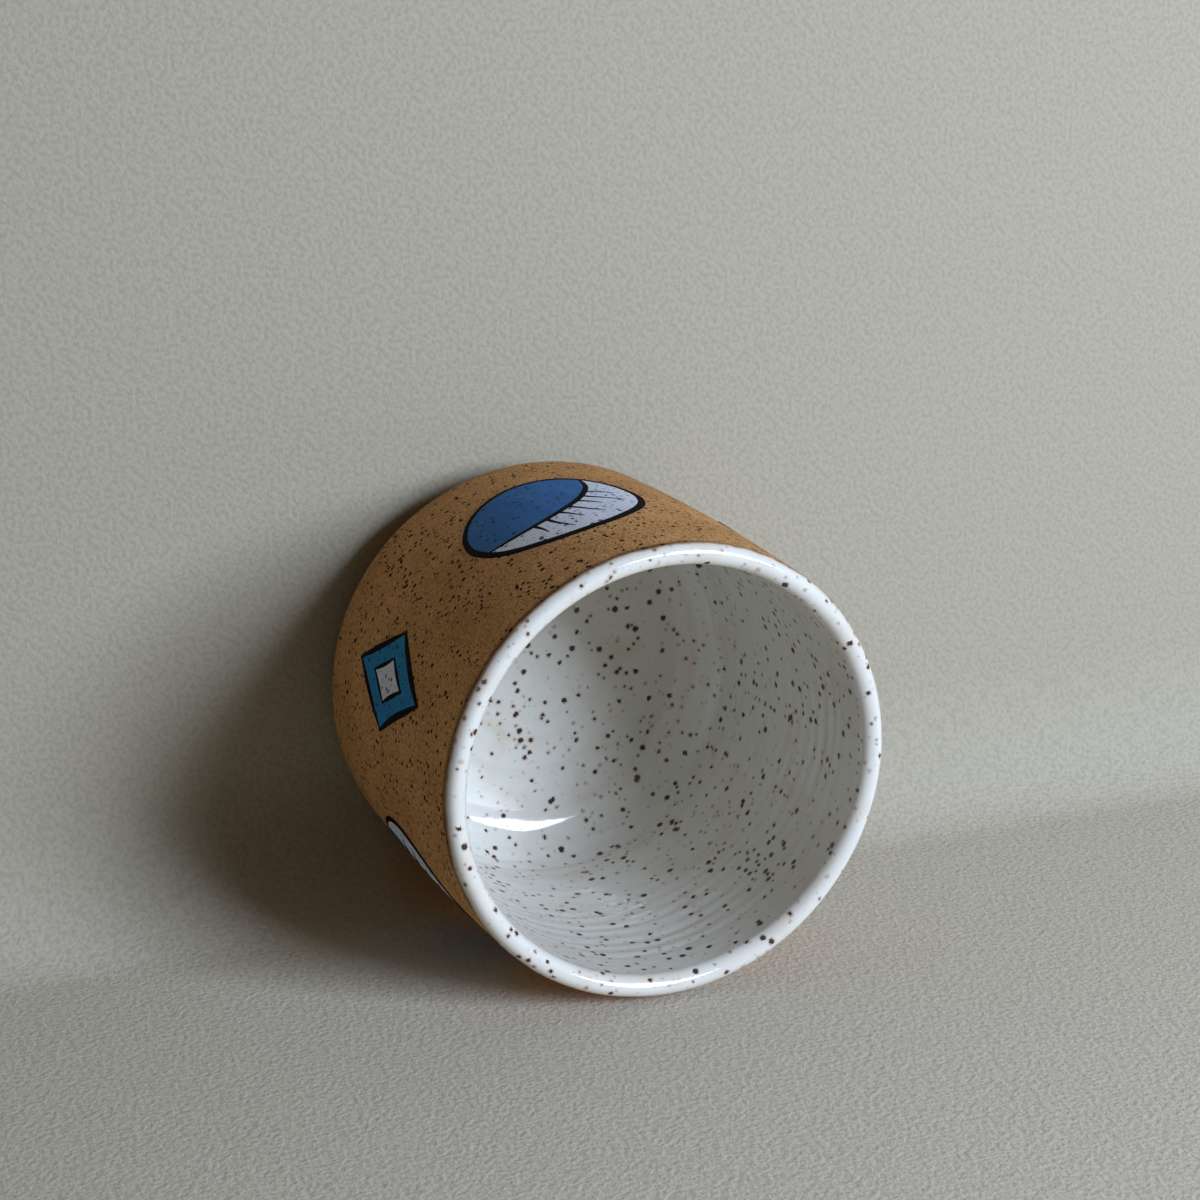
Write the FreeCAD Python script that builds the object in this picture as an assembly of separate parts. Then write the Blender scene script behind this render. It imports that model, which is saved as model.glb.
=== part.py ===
"""Hand-thrown stoneware tumbler with a white liner glaze and a painted ring of motifs.

The cup stands upright on its foot ring: +Z is its axis out of the mouth, and the origin is
the centre of the foot on the surface it stands on. All lengths are in millimetres.
"""
import FreeCAD
import Part
import math
import os

Vector = FreeCAD.Vector

# Thrown wall: one long arc from the corner at the base to the lip
cup_height = 77.5
lip_radius = 43.0
base_spread = 0.9
belly_swell = 0.7
wall_thickness = 3.55
outer_corner_radius = 10.0

# Floor and trimmed foot ring
floor_thickness = 6.4
inner_corner_radius = 10.5
foot_height = 1.6
foot_inset = 1.6
foot_width = 5.0
foot_bevel = 0.7

# Liner glaze over the inside and the lip
glaze_thickness = 0.5
glaze_edge_thickness = 0.15
glaze_edge_angle = 20.0

# Throwing rings in the liner: where each group starts and ends down the inner wall
ring_groove = 0.2
upper_ring_count = 5
upper_ring_shares = (0.14, 0.46)
lower_ring_count = 3
lower_ring_shares = (0.745, 0.9)

# Painted slip on the outer wall
slip_thickness = 0.15
line_thickness = 0.2
motif_height = 42.0
motif_pairs = 3
first_roundel_angle = 58.0

# Roundel: a disc parted by an arc into a blue and a pale field, with a fan of strokes
roundel_radius = 17.5
roundel_line = 1.1
roundel_line_shift = 0.35
roundel_tilt = 35.0
parting_radius = 21.0
parting_rise = 4.5
parting_line = 1.0
parting_line_shift = 0.3
stroke_count = 7
stroke_length = 8.0
stroke_width = 0.75
stroke_fan_angle = 8.5
short_stroke_share = 0.7

# Lozenge: a teal diamond with a pale one nested in it
lozenge_width = 20.0
lozenge_height = 34.0
lozenge_line = 1.0
inner_lozenge_width = 9.5
inner_lozenge_height = 16.5
inner_lozenge_line = 0.8

# How far a motif's prism runs past the wall before it is cut to the skin of slip
overrun = 5.0

foot_top = foot_height
clay_floor = foot_height + floor_thickness
clay_top = cup_height - glaze_thickness
lip_round = wall_thickness / 2
base_radius = lip_radius + base_spread
foot_radius = base_radius - outer_corner_radius - foot_inset
glaze_depth = wall_thickness + glaze_thickness

AXIS_POINT = Vector(0, 0, 0)
AXIS_UP = Vector(0, 0, 1)
MOTIF_FRONT = Vector(0, -1, 0)


def wall_circle():
    """Return the centre and the radius of the circle that the outer wall follows."""
    low = Vector(base_radius, 0, foot_height + outer_corner_radius)
    high = Vector(lip_radius, 0, cup_height)
    chord = high - low
    outward = Vector(chord.z, 0, -chord.x).normalize()
    radius = (chord.Length ** 2 / 4 + belly_swell ** 2) / (2 * belly_swell)
    return (low + high) / 2 + outward * (belly_swell - radius), radius


WALL_CENTRE, WALL_CURVE = wall_circle()


def on_wall(depth, level):
    """Return the profile point at a level on the wall's arc, moved in by a depth."""
    radius = WALL_CURVE - depth
    return Vector(WALL_CENTRE.x + math.sqrt(radius ** 2 - (level - WALL_CENTRE.z) ** 2), 0, level)


def wall_corner(depth, level, fillet):
    """Return the fillet between a level floor and the wall's arc moved in by a depth.

    The result is the three points of the fillet's arc: on the floor, midway and on the wall.
    """
    centre = on_wall(depth + fillet, level + fillet)
    outward = (centre - WALL_CENTRE).normalize()
    halfway = (outward - AXIS_UP).normalize()
    return centre - AXIS_UP * fillet, centre + halfway * fillet, centre + outward * fillet


def from_lip(distance, angle):
    """Return the point at a distance from the lip's centre, at degrees above outward."""
    turn = math.radians(angle)
    centre = on_wall(lip_round, clay_top - lip_round)
    return centre + Vector(math.cos(turn), 0, math.sin(turn)) * distance


def wall_lean():
    """Return the angle in degrees of the wall's outward normal at the lip."""
    outward = from_lip(0, 0) - WALL_CENTRE
    return math.degrees(math.atan2(outward.z, outward.x))


def line(start, end):
    """Return a straight edge."""
    return Part.LineSegment(start, end).toShape()


def arc(start, middle, end):
    """Return a round edge through three points."""
    return Part.Arc(start, middle, end).toShape()


def wall_run(depth, start, end):
    """Return the stretch of the wall's arc between two profile points at a depth."""
    return arc(start, on_wall(depth, (start.z + end.z) / 2), end)


def revolve(edges):
    """Return the solid of revolution of a closed profile in the XZ plane."""
    profile = Part.Face(Part.Wire(Part.__sortEdges__(edges)))
    solid = profile.revolve(AXIS_POINT, AXIS_UP, 360)
    return solid if solid.Volume > 0 else solid.reversed()


def clay_body():
    """Return the fired clay: foot ring, floor, wall and rounded lip."""
    foot_inside = foot_radius - foot_width
    outer = wall_corner(0, foot_top, outer_corner_radius)
    inner = wall_corner(wall_thickness, clay_floor, inner_corner_radius)
    lean = wall_lean()
    lip_outside = from_lip(lip_round, lean)
    lip_inside = from_lip(lip_round, lean + 180)
    underside = [
        Vector(0, 0, foot_top),
        Vector(foot_inside - foot_bevel, 0, foot_top),
        Vector(foot_inside, 0, foot_top - foot_bevel),
        Vector(foot_inside, 0, foot_bevel),
        Vector(foot_inside + foot_bevel, 0, 0),
        Vector(foot_radius - foot_bevel, 0, 0),
        Vector(foot_radius, 0, foot_bevel),
        Vector(foot_radius, 0, foot_top),
        outer[0],
    ]
    edges = [line(start, end) for start, end in zip(underside, underside[1:])]
    edges += [
        arc(*outer),
        wall_run(0, outer[2], lip_outside),
        arc(lip_outside, from_lip(lip_round, lean + 90), lip_inside),
        wall_run(wall_thickness, lip_inside, inner[2]),
        arc(*reversed(inner)),
        line(inner[0], Vector(0, 0, clay_floor)),
        line(Vector(0, 0, clay_floor), underside[0]),
    ]
    return revolve(edges)


def ringed_wall(top, bottom):
    """Return the liner's inner wall from top to bottom, with its throwing rings."""
    edges = []
    point = top
    for count, (first_share, last_share) in ((upper_ring_count, upper_ring_shares),
                                             (lower_ring_count, lower_ring_shares)):
        start = top.z + (bottom.z - top.z) * first_share
        pitch = (bottom.z - top.z) * (last_share - first_share) / count
        ridges = [on_wall(glaze_depth, start + pitch * index) for index in range(count + 1)]
        edges.append(wall_run(glaze_depth, point, ridges[0]))
        for upper, lower in zip(ridges, ridges[1:]):
            hollow = on_wall(glaze_depth - ring_groove, (upper.z + lower.z) / 2)
            edges.append(arc(upper, hollow, lower))
        point = ridges[-1]
    edges.append(wall_run(glaze_depth, point, bottom))
    return edges


def liner_glaze():
    """Return the white glaze: a skin on the floor, the inner wall and over the lip."""
    glazed_round = lip_round + glaze_thickness
    glaze_floor = clay_floor + glaze_thickness
    back = wall_corner(wall_thickness, clay_floor, inner_corner_radius)
    face = wall_corner(glaze_depth, glaze_floor, inner_corner_radius - glaze_thickness)
    inward = wall_lean() + 180
    clay_inside = from_lip(lip_round, inward)
    clay_edge = from_lip(lip_round, glaze_edge_angle)
    glaze_inside = from_lip(glazed_round, inward)
    glaze_edge = from_lip(lip_round + glaze_edge_thickness, glaze_edge_angle)
    glaze_crown = from_lip(glazed_round, 90)
    shoulder_round = lip_round + (glaze_thickness + glaze_edge_thickness) / 2
    shoulder = from_lip(shoulder_round, (90 + glaze_edge_angle) / 2)
    edges = [
        line(Vector(0, 0, clay_floor), back[0]),
        arc(*back),
        wall_run(wall_thickness, back[2], clay_inside),
        arc(clay_inside, from_lip(lip_round, 90), clay_edge),
        line(clay_edge, glaze_edge),
        arc(glaze_edge, shoulder, glaze_crown),
        arc(glaze_crown, from_lip(glazed_round, 135), glaze_inside),
        arc(*face),
        line(face[0], Vector(0, 0, glaze_floor)),
        line(Vector(0, 0, glaze_floor), Vector(0, 0, clay_floor)),
    ]
    return revolve(edges + ringed_wall(glaze_inside, face[2]))


def slip_skin(thickness):
    """Return a thin skin that lies on the outer wall over the band that is painted."""
    reach = max(roundel_radius, lozenge_height / 2) + overrun / 2
    low = motif_height - reach
    high = motif_height + reach
    corners = [on_wall(0, low), on_wall(0, high), on_wall(-thickness, high), on_wall(-thickness, low)]
    edges = [
        wall_run(0, corners[0], corners[1]),
        line(corners[1], corners[2]),
        wall_run(-thickness, corners[2], corners[3]),
        line(corners[3], corners[0]),
    ]
    return revolve(edges)


def disc(radius, across=0.0, up=0.0):
    """Return a round face in the motif plane, which faces outwards."""
    circle = Part.Circle(Vector(across, 0, up), MOTIF_FRONT, radius)
    return Part.Face(Part.Wire(circle.toShape()))


def polygon(points):
    """Return a flat face in the motif plane from (across, up) points."""
    corners = [Vector(across, 0, up) for across, up in points]
    return Part.Face(Part.makePolygon(corners + corners[:1]))


def diamond(width, height):
    """Return a diamond in the motif plane, standing on its point."""
    return polygon([(-width / 2, 0), (0, -height / 2), (width / 2, 0), (0, height / 2)])


def stroke(index, parting_offset):
    """Return one stroke of the roundel's fan: a thin wedge that ends in a point."""
    reach = stroke_length * (1 if index % 2 else short_stroke_share)
    wedge = polygon([(-stroke_width / 2, parting_radius - parting_line / 2),
                     (stroke_width / 2, parting_radius - parting_line / 2),
                     (0, parting_radius + reach)])
    wedge.rotate(AXIS_POINT, MOTIF_FRONT, (index - (stroke_count - 1) / 2) * stroke_fan_angle)
    wedge.translate(AXIS_UP * -parting_offset)
    return wedge


def roundel_faces():
    """Return the roundel's blue, pale and black faces, before its tilt.

    Its round lines swell on one side, as a loaded brush leaves them.
    """
    parting_offset = parting_radius - parting_rise
    inside = disc(roundel_radius - roundel_line, roundel_line_shift, roundel_line_shift)
    parting = disc(parting_radius, 0, -parting_offset)
    parting_inside = disc(parting_radius - parting_line, parting_line_shift, -parting_offset)
    strokes = [stroke(index, parting_offset) for index in range(stroke_count)]
    blue = inside.common(parting_inside)
    pale = inside.cut([parting] + strokes)
    return {"blue": blue, "pale": pale, "black": disc(roundel_radius).cut([blue, pale])}


def lozenge_faces():
    """Return the lozenge's teal, pale and black faces."""
    inside_share = 1 - 2 * lozenge_line / lozenge_width
    nested_share = 1 - 2 * inner_lozenge_line / inner_lozenge_width
    outer = diamond(lozenge_width, lozenge_height)
    inside = diamond(lozenge_width * inside_share, lozenge_height * inside_share)
    nested = diamond(inner_lozenge_width, inner_lozenge_height)
    nested_inside = diamond(inner_lozenge_width * nested_share, inner_lozenge_height * nested_share)
    teal = inside.cut(nested)
    return {"teal": teal, "pale": nested_inside, "black": outer.cut([teal, nested_inside])}


def wrap(face, skin, tilt, angle):
    """Return a motif's face laid on the wall at an angle round the cup, as solids."""
    flat = face.copy()
    flat.rotate(AXIS_POINT, MOTIF_FRONT, tilt)
    flat.translate(AXIS_UP * motif_height)
    prism = flat.extrude(MOTIF_FRONT * (max(lip_radius, base_radius) + belly_swell + overrun))
    prism.rotate(AXIS_POINT, AXIS_UP, angle)
    return prism.common(skin).Solids


def painted_nodes():
    """Return the slip of each colour and the black lines, each as a group of solids."""
    slip = slip_skin(slip_thickness)
    skins = {"blue": slip, "teal": slip, "pale": slip, "black": slip_skin(line_thickness)}
    groups = {colour: [] for colour in skins}
    step = 360 / motif_pairs
    for index in range(motif_pairs):
        roundel_angle = first_roundel_angle + index * step
        motifs = ((roundel_faces(), roundel_tilt, roundel_angle),
                  (lozenge_faces(), 0, roundel_angle + step / 2))
        for faces, tilt, angle in motifs:
            for colour, face in faces.items():
                groups[colour] += wrap(face, skins[colour], tilt, angle)
    names = {"blue": "blue_slip", "teal": "teal_slip", "pale": "pale_slip",
             "black": "black_linework"}
    return {names[colour]: Part.makeCompound(solids) for colour, solids in groups.items()}


def main():
    """Build every node, write it and print what it measures."""
    os.makedirs("parts", exist_ok=True)
    nodes = {"clay_body": clay_body(), "liner_glaze": liner_glaze()}
    nodes.update(painted_nodes())
    for name, shape in nodes.items():
        shape.exportStep("parts/" + name + ".step")
        box = shape.optimalBoundingBox(False, False)
        corners = (box.XMin, box.YMin, box.ZMin, box.XMax, box.YMax, box.ZMax)
        print(name, "solids", len(shape.Solids), "valid", shape.isValid(),
              "volume %.1f" % shape.Volume, "box", " ".join("%.2f" % value for value in corners))


main()
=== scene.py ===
"""Looks, stage, lamps and camera of a hand-thrown stoneware tumbler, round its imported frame.

The cup stands upright on its foot ring at the origin, with +Z out of its mouth. Sizes are in
millimetres where nothing else is said, and become metres where they reach a mesh.
"""
import logging
import math
from dataclasses import dataclass, replace
from enum import Enum
from functools import cached_property
from typing import Callable, Sequence, Union

import bpy
from mathutils import Euler, Matrix, Vector, noise


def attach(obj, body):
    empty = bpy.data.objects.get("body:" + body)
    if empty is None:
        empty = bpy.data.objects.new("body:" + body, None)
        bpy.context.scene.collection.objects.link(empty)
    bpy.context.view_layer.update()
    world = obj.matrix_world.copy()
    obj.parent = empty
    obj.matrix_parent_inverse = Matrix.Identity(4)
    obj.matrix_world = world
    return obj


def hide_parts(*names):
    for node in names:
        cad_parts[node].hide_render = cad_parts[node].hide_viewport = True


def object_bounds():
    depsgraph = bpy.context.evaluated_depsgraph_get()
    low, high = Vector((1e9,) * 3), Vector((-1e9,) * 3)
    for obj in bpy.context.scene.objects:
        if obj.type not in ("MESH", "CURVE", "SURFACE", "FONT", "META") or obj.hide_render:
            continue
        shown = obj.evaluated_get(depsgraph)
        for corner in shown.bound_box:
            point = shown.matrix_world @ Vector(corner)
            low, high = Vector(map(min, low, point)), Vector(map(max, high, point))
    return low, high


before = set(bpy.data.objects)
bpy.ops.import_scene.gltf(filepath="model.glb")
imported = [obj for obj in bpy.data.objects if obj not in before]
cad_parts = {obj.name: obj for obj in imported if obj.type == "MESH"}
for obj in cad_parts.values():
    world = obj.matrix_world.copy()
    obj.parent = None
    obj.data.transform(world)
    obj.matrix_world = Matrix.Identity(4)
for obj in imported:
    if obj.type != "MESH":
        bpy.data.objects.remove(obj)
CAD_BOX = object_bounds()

LOG = logging.getLogger("tumbler")
MM = 0.001
BODY = "root"

# The papers fade into this, which the camera and reflections see, but which gives no light.
BACKDROP = "#a3a199"

# In mm: nearer points count as one, and a point nearer to the axis than this is on it.
SAME_POINT = 0.005
AXIS_REACH = 1e-6

Edge = Callable[[float], float]
Path = Callable[[float], Vector]
Placer = Callable[[float, float], Vector]
Mover = Callable[[Vector], Vector]
Source = Union[bpy.types.Node, bpy.types.NodeSocket]


class Colour(Enum):
    """The slips that the painter used, by the frame's slot for each."""

    BLUE = "blue_slip"
    TEAL = "teal_slip"
    PALE = "pale_slip"
    BLACK = "black_slip"


Strokes = dict[Colour, list[bpy.types.Object]]


def linear(hex_colour: str) -> tuple[float, float, float, float]:
    """Turn an sRGB colour into the linear one that a shader takes.

    Args:
        hex_colour: the colour as "#rrggbb".

    Returns:
        Red, green, blue and an alpha of 1.
    """
    shares = [int(hex_colour[start:start + 2], 16) / 255 for start in (1, 3, 5)]
    red, green, blue = (share / 12.92 if share <= 0.04045 else ((share + 0.055) / 1.055) ** 2.4
                        for share in shares)
    return red, green, blue, 1.0


def smooth_step(low: float, high: float, value: float) -> float:
    """Return 0 below low, 1 above high, and a smooth rise between them."""
    share = min(max((value - low) / (high - low), 0.0), 1.0)
    return share * share * (3 - 2 * share)


def wander(point: Sequence[float], span: float, seed: float = 0.0) -> float:
    """Return smooth noise from about -1 to 1.

    Args:
        point: where it is read, in mm.
        span: the distance over which it changes, in mm.
        seed: another number gives another noise.

    Returns:
        The noise at the point.
    """
    return noise.noise(Vector(point) / span + Vector((seed, -seed, 0.37 * seed)))


def heading(angle: float) -> Vector:
    """Return the unit vector at an angle in degrees, from outward (or right) towards up."""
    return Vector((math.cos(math.radians(angle)), math.sin(math.radians(angle))))


def angle_of(aim: Vector) -> float:
    """Return the angle in degrees of a direction, from outward towards up."""
    return math.degrees(math.atan2(aim.y, aim.x))


@dataclass(frozen=True)
class ThrownWall:
    """Sizes of the thrown cup, and the curves and offsets that follow from them."""

    height: float
    lip_radius: float = 43.0
    base_spread: float = 0.9
    belly_swell: float = 0.7
    thickness: float = 3.55
    outer_corner: float = 10.0
    inner_corner: float = 10.5
    floor_thickness: float = 6.4
    foot_height: float = 1.6
    foot_inset: float = 1.6
    foot_width: float = 5.0
    glaze: float = 0.5
    wobble: float = 0.1
    wobble_bias: float = 0.3
    wobble_span: float = 38.0
    lip_dip: float = 0.15
    dip_share: float = 0.6

    @cached_property
    def circle(self) -> tuple[Vector, float]:
        """Find the arc that the outer wall follows.

        Returns:
            Its centre, as radius and level, and its radius.
        """
        low = Vector((self.lip_radius + self.base_spread, self.foot_height + self.outer_corner))
        high = Vector((self.lip_radius, self.height))
        chord = high - low
        outward = Vector((chord.y, -chord.x)).normalized()
        radius = (chord.length_squared / 4 + self.belly_swell ** 2) / (2 * self.belly_swell)
        return (low + high) / 2 + outward * (self.belly_swell - radius), radius

    @cached_property
    def clay_floor(self) -> float:
        """The level of the clay inside the cup."""
        return self.foot_height + self.floor_thickness

    @cached_property
    def lip_round(self) -> float:
        """The radius of the clay's rounded lip."""
        return self.thickness / 2

    @cached_property
    def lip_centre(self) -> Vector:
        """The centre of the lip's round, as radius and level."""
        return self.on_wall(self.lip_round, self.height - self.glaze - self.lip_round)

    @cached_property
    def lean(self) -> float:
        """The angle in degrees of the wall's outward normal at the lip."""
        return self.wall_angle(self.lip_centre)

    def on_lip(self, distance: float, angle: float) -> Vector:
        """Return the profile point at a distance from the lip's centre, at an angle in degrees."""
        return self.lip_centre + heading(angle) * distance

    @cached_property
    def corner_core(self) -> Vector:
        """The centre of the inside corner's round, as radius and level."""
        return self.on_wall(self.thickness + self.inner_corner, self.clay_floor + self.inner_corner)

    def on_wall(self, depth: float, level: float) -> Vector:
        """Find the wall's arc at a level.

        Args:
            depth: how far behind the outer face the point lies.
            level: the level.

        Returns:
            The point as radius and level.
        """
        centre, curve = self.circle
        reach = curve - depth
        return Vector((centre.x + math.sqrt(reach ** 2 - (level - centre.y) ** 2), level))

    def wall_angle(self, point: Vector) -> float:
        """Return the angle in degrees of the wall's outward normal at a profile point."""
        return angle_of(point - self.circle[0])

    def depth_inside(self, radius: float, level: float) -> float:
        """Measure how deep a point on the inside lies behind the outer face.

        Args:
            radius: the point's distance from the axis.
            level: its level.

        Returns:
            The depth.
        """
        core = self.corner_core
        reach = self.thickness + self.inner_corner
        if level >= core.y:
            centre, curve = self.circle
            return curve - (Vector((radius, level)) - centre).length
        if radius > core.x:
            return reach - (Vector((radius, level)) - core).length
        return reach - (core.y - level)

    def run_inside(self, radius: float, level: float) -> float:
        """Measure the way from the lip down the inner face to a point on it.

        Args:
            radius: the point's distance from the axis.
            level: its level.

        Returns:
            The length of the way.
        """
        core = self.corner_core
        straight = self.height - core.y
        if level >= core.y:
            return self.height - level
        if radius > core.x:
            turn = math.atan2(core.y - level, radius - core.x)
            return straight + self.inner_corner * turn
        return straight + self.inner_corner * math.pi / 2 + core.x - radius

    def softened(self, point: Vector) -> Vector:
        """Move a point as the potter's hand left it.

        Every piece of the cup is moved by the same rule, so the slips stay on the clay.

        Args:
            point: a point of the even cup.

        Returns:
            The point of the thrown cup.
        """
        flat = math.hypot(point.x, point.y)
        if flat < AXIS_REACH:
            return point
        outward = Vector((point.x, point.y, 0)) / flat
        place = Vector((outward.x, outward.y, 0)) * self.lip_radius + Vector((0, 0, point.z))
        rise = smooth_step(0.0, 2 * self.outer_corner, point.z)
        push = self.wobble * (wander(place, self.wobble_span, 3.1) - self.wobble_bias) * rise
        top = smooth_step(self.height * self.dip_share, self.height, point.z)
        dip = self.lip_dip * (0.5 + 0.5 * wander(place, self.wobble_span, 8.7)) * top
        return point + outward * push - Vector((0, 0, dip))


def arc_points(centre: Vector, radius: float, start: float, end: float,
               step: float) -> list[Vector]:
    """Return evenly spaced points on an arc of a profile.

    Args:
        centre: the arc's centre, as radius and level.
        radius: the arc's radius.
        start: the first point's angle in degrees, from outward towards up.
        end: the last point's angle in degrees.
        step: the spacing that is wanted between points.

    Returns:
        The points, both ends included.
    """
    count = max(2, math.ceil(math.radians(abs(end - start)) * radius / step))
    return [centre + heading(start + (end - start) * index / count) * radius
            for index in range(count + 1)]


def straight_points(start: Vector, end: Vector, step: float) -> list[Vector]:
    """Return evenly spaced points on a straight run of a profile, both ends included."""
    count = max(1, math.ceil((end - start).length / step))
    return [start.lerp(end, index / count) for index in range(count + 1)]


def wall_points(wall: ThrownWall, depth: float, start: float, end: float,
                step: float) -> list[Vector]:
    """Return points on the wall's arc at a depth, from one level to another."""
    count = max(1, math.ceil(abs(end - start) / step))
    return [wall.on_wall(depth, start + (end - start) * index / count) for index in range(count + 1)]


def joined(*runs: Sequence[Vector]) -> list[Vector]:
    """Join the runs of a profile.

    Args:
        runs: the points of each run.

    Returns:
        All the points, without those that lie on the one before.
    """
    profile: list[Vector] = []
    for point in (point for run in runs for point in run):
        if not profile or (point - profile[-1]).length > SAME_POINT:
            profile.append(point)
    return profile


def pick_nothing() -> None:
    """Deselect every object, because an operator acts on all that is selected."""
    bpy.ops.object.select_all(action="DESELECT")


def reshape(piece: bpy.types.Object, mover: Mover) -> None:
    """Move each vertex of a piece.

    Args:
        piece: the mesh object, in metres.
        mover: takes a vertex's place in mm and returns the new one in mm.
    """
    for vertex in piece.data.vertices:
        vertex.co = mover(vertex.co / MM) * MM
    piece.data.update()


def laid_grid(name: str, cells: tuple[int, int], place: Placer) -> bpy.types.Object:
    """Add a grid and lay each of its points.

    Args:
        name: the piece's name.
        cells: how many faces it has across and up.
        place: gives a point in mm for each pair of shares from 0 to 1, across and up.

    Returns:
        The open, smooth sheet.
    """
    pick_nothing()
    bpy.ops.mesh.primitive_grid_add(x_subdivisions=cells[0], y_subdivisions=cells[1], size=1.0)
    piece = bpy.context.active_object
    piece.name = name
    for vertex in piece.data.vertices:
        vertex.co = place(vertex.co.x + 0.5, vertex.co.y + 0.5) * MM
    bpy.ops.object.shade_smooth()
    return piece


def spin_profile(name: str, profile: Sequence[Vector], steps: int) -> bpy.types.Object:
    """Trace a profile as a chain of edges and spin it about +Z.

    Args:
        name: the piece's name.
        profile: radius and level of each point, from the axis round to the axis.
        steps: how many steps the full turn has.

    Returns:
        The closed piece, with its faces outwards and smooth.
    """
    pick_nothing()
    bpy.ops.mesh.primitive_plane_add(size=MM, location=(0, 0, 0))
    piece = bpy.context.active_object
    piece.name = piece.data.name = name
    bpy.ops.object.mode_set(mode="EDIT")
    bpy.ops.mesh.select_all(action="SELECT")
    bpy.ops.mesh.merge(type="CENTER")
    bpy.ops.transform.translate(value=(profile[0].x * MM, 0, profile[0].y * MM))
    for start, end in zip(profile, profile[1:]):
        step = (end - start) * MM
        bpy.ops.mesh.extrude_region_move(TRANSFORM_OT_translate={"value": (step.x, 0, step.y)})
    bpy.ops.mesh.select_all(action="SELECT")
    bpy.ops.mesh.spin(steps=steps, angle=math.tau, center=(0, 0, 0), axis=(0, 0, 1))
    bpy.ops.mesh.select_all(action="SELECT")
    bpy.ops.mesh.remove_doubles(threshold=0.002 * MM)
    bpy.ops.mesh.normals_make_consistent(inside=False)
    bpy.ops.object.mode_set(mode="OBJECT")
    bpy.ops.object.shade_smooth()
    return piece


class Board:
    """A node tree that is being wired: a material's or the room's."""

    def __init__(self, owner: Union[bpy.types.Material, bpy.types.World]) -> None:
        """Start from the owner's tree, emptied."""
        owner.use_nodes = True
        self.tree = owner.node_tree
        self.tree.nodes.clear()

    def add(self, kind: str, settings: dict | None = None) -> bpy.types.Node:
        """Add one node.

        Args:
            kind: the node's type, without "ShaderNode".
            settings: its properties by their lower-case names, and for its sockets, by name or
                index, a value or the node or output that feeds it.

        Returns:
            The node.
        """
        node = self.tree.nodes.new(f"ShaderNode{kind}")
        for name, value in (settings or {}).items():
            if isinstance(value, bpy.types.Node):
                value = value.outputs[0]
            if isinstance(value, bpy.types.NodeSocket):
                self.tree.links.new(value, node.inputs[name])
            elif isinstance(name, str) and name[0].islower():
                setattr(node, name, value)
            else:
                node.inputs[name].default_value = value
        return node

    def noise_mask(self, place: Source, span: float, band: tuple[float, float], detail: float = 3.0,
                   roughness: float = 0.5) -> tuple[bpy.types.Node, bpy.types.Node]:
        """Add a noise, and stretch a band of it to the range from 0 to 1.

        Args:
            place: the point where the noise is read, in metres.
            span: the size of its patches in mm.
            band: the noise that becomes 0 and the noise that becomes 1.
            detail: how many finer layers it has.
            roughness: how strong those layers are.

        Returns:
            The noise and the mask.
        """
        field = self.add("TexNoise", {"Scale": 1 / (span * MM), "Detail": detail,
                                      "Roughness": roughness, "Vector": place})
        return field, self.add("MapRange", {"From Min": band[0], "From Max": band[1], "Value": field})

    def layered(self, base: str, *layers: tuple[str, Source, float]) -> bpy.types.NodeSocket:
        """Lay colours over one another, each where its mask says.

        Args:
            base: the lowest colour, as sRGB hex.
            layers: for each colour above, its sRGB hex, its mask, and its share at a mask of 1.

        Returns:
            The mixed colour.
        """
        below = linear(base)
        for top, mask, strength in layers:
            share = self.add("Math", {"operation": "MULTIPLY", 0: mask, 1: strength})
            mix = self.add("Mix", {"data_type": "RGBA", 0: share, 6: below, 7: linear(top)})
            below = mix.outputs[2]
        return below


def backdrop(board: Board, light: str) -> tuple[bpy.types.Node, bpy.types.Node]:
    """Add the nodes of what is seen far away.

    Args:
        board: the board that shows it.
        light: the kind of the node that gives its light.

    Returns:
        The mask of the rays that see it, from the camera or a reflection, and its plain light.
    """
    path = board.add("LightPath").outputs
    seen = board.add("Math", {"operation": "MAXIMUM", 0: path["Is Camera Ray"],
                              1: path["Is Glossy Ray"]})
    return seen, board.add(light, {"Color": linear(BACKDROP), "Strength": 1.0})


def new_material(name: str) -> tuple[bpy.types.Material, Board, bpy.types.NodeSocket]:
    """Make an empty material.

    Args:
        name: the finish's name.

    Returns:
        The material, its board, and the output that gives the surface point in metres.
    """
    material = bpy.data.materials.new(name)
    board = Board(material)
    return material, board, board.add("TexCoord").outputs["Object"]


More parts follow.
